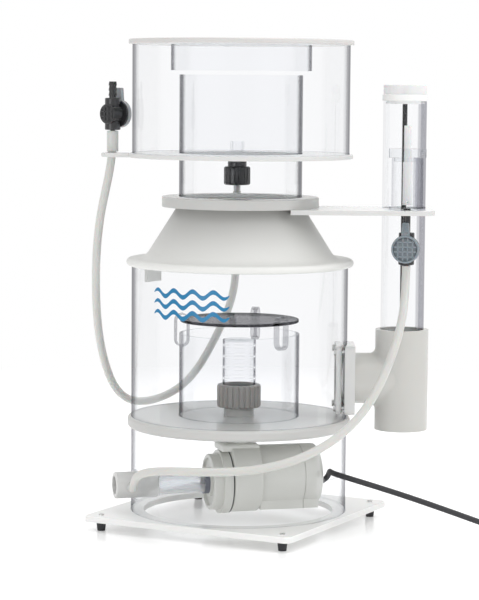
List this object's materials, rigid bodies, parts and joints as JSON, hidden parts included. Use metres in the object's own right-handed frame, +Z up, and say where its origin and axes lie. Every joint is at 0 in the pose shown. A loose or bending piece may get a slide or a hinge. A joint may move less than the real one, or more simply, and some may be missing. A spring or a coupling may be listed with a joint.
{
  "type": "protein skimmer",
  "caption": "Free-standing protein skimmer: clear body on a square base with a needle-wheel pump, bubble plate, cone, lift-off cup, level-regulating outlet and air silencer.",
  "frame": {"origin": "on the body's axis at the floor, in the plane of the feet's undersides", "axes": "+Z up along the body's axis, +X towards the side outlet and its riser, -Y the front with the air hose, +Y the back with the cup's drain"},
  "size_m": [0.5611, 0.4194, 0.6736],
  "materials": {
    "white_plate": "gloss white sheet",
    "white_cone": "satin off-white moulding",
    "clear_acrylic": "clear acrylic tube",
    "clear_sheet": "clear acrylic sheet",
    "smoked_acrylic": "smoked acrylic sheet",
    "white_pipe": "white pipe plastic",
    "grey_plastic": "beige-grey moulded plastic",
    "nut_grey": "grey moulded plastic",
    "black_plastic": "black moulded plastic",
    "tap_grey": "grey moulded plastic",
    "tap_blue": "pale blue-grey plastic",
    "hose_white": "semi-opaque silicone hose",
    "black_rubber": "black rubber",
    "steel": "stainless steel",
    "black_rod": "black threaded plastic rod",
    "impeller_white": "white moulded plastic",
    "magnet_black": "encapsulated magnet",
    "ceramic": "ceramic-lined bush"
  },
  "bodies": {
    "skimmer": {"base_plate": "white_plate", "rubber_feet": "black_rubber", "foot_screws": "steel", "lower_chamber": "clear_acrylic", "mid_plate": "white_plate", "body_tube": "clear_acrylic", "reactor_cone": "white_cone", "cone_key": "white_cone", "neck_collar": "white_plate", "collar_oring": "hose_white", "support_arm": "white_plate", "silencer_body": "clear_acrylic", "air_tap_body": "tap_grey", "air_hose": "hose_white", "venturi_body": "grey_plastic", "intake_pipe": "white_pipe", "intake_seal": "black_rubber", "pump_volute": "grey_plastic", "pump_oring": "black_rubber", "pump_motor_housing": "grey_plastic", "pump_end_cap": "grey_plastic", "shaft_bush": "ceramic", "power_cable": "black_rubber", "union_socket": "white_pipe", "bubble_pipe": "white_pipe", "inner_cylinder": "clear_acrylic", "outlet_inner_plate": "white_plate", "outlet_outer_plate": "white_plate", "outlet_gasket": "hose_white", "outlet_screws": "steel", "outlet_tee": "white_pipe", "riser_tube": "clear_acrylic", "riser_cap": "white_pipe"},
    "cup": {"neck_tube": "clear_acrylic", "cup_floor": "white_plate", "cup_wall": "clear_acrylic", "drain_stub": "white_pipe", "drain_nipple": "black_plastic", "drain_hose": "hose_white", "hose_sleeve": "hose_white", "drain_tap_body": "black_plastic"},
    "lid": {"cup_lid": "white_plate", "lid_ring": "clear_acrylic"},
    "drain_tap": {"drain_tap_handle": "tap_grey", "drain_tap_plug": "tap_grey"},
    "drain_nut": {"drain_nut": "black_plastic"},
    "air_tap": {"air_tap_handle": "tap_blue", "air_tap_plug": "tap_blue"},
    "level_screw": {"level_knob": "white_pipe", "level_rod": "black_rod"},
    "level_gate": {"level_gate": "white_pipe"},
    "union_nut": {"union_nut": "nut_grey"},
    "rotor": {"impeller": "impeller_white", "rotor_magnet": "magnet_black", "pump_shaft": "steel"},
    "front_cap": {"pump_front_cap": "grey_plastic"},
    "deflector": {"deflector_disc": "smoked_acrylic", "disc_clips": "clear_sheet"},
    "silencer_top": {"silencer_cap": "clear_sheet", "silencer_stem": "white_pipe"}
  },
  "joints": [
    {"name": "cup_lift", "type": "slide", "parent": "skimmer", "child": "cup", "axis": [0, 0, 1], "range_m": [0, 0.1]},
    {"name": "lid_lift", "type": "slide", "parent": "cup", "child": "lid", "axis": [0, 0, 1], "range_m": [0, 0.05]},
    {"name": "drain_tap_turn", "type": "hinge", "parent": "cup", "child": "drain_tap", "pos_m": [-0.177, 0, 0.5707], "axis": [0.6428, 0.766, 0], "range_deg": [-90, 0]},
    {"name": "drain_nut_turn", "type": "hinge", "parent": "cup", "child": "drain_nut", "pos_m": [-0.005, 0.118, 0.48], "axis": [0, 0, 1], "range_deg": [0, 720]},
    {"name": "air_tap_turn", "type": "hinge", "parent": "skimmer", "child": "air_tap", "pos_m": [0.2265, -0.057, 0.3915], "axis": [-0.1736, -0.9848, 0], "range_deg": [0, 90]},
    {"name": "level_turn", "type": "hinge", "parent": "skimmer", "child": "level_screw", "pos_m": [0.226, 0, 0.4], "axis": [0, 0, 1], "range_deg": [0, 5760]},
    {"name": "gate_slide", "type": "slide", "parent": "skimmer", "child": "level_gate", "axis": [0, 0, 1], "range_m": [0, 0.0201]},
    {"name": "union_turn", "type": "hinge", "parent": "skimmer", "child": "union_nut", "pos_m": [0, 0, 0.18], "axis": [0, 0, 1], "range_deg": [0, 720]},
    {"name": "rotor_spin", "type": "hinge", "parent": "skimmer", "child": "rotor", "pos_m": [0, 0, 0.0605], "axis": [-0.9659, -0.2588, 0], "continuous": true},
    {"name": "front_cap_twist", "type": "hinge", "parent": "skimmer", "child": "front_cap", "pos_m": [0, 0, 0.0605], "axis": [-0.9659, -0.2588, 0], "range_deg": [0, 20]},
    {"name": "deflector_lift", "type": "slide", "parent": "skimmer", "child": "deflector", "axis": [0, 0, 1], "range_m": [0, 0.04]},
    {"name": "silencer_lift", "type": "slide", "parent": "skimmer", "child": "silencer_top", "axis": [0, 0, 1], "range_m": [0, 0.02]}
  ],
  "couplings": [
    {"joint": "gate_slide", "follows": "level_turn", "m_per_rad": 0.00019894}
  ]
}
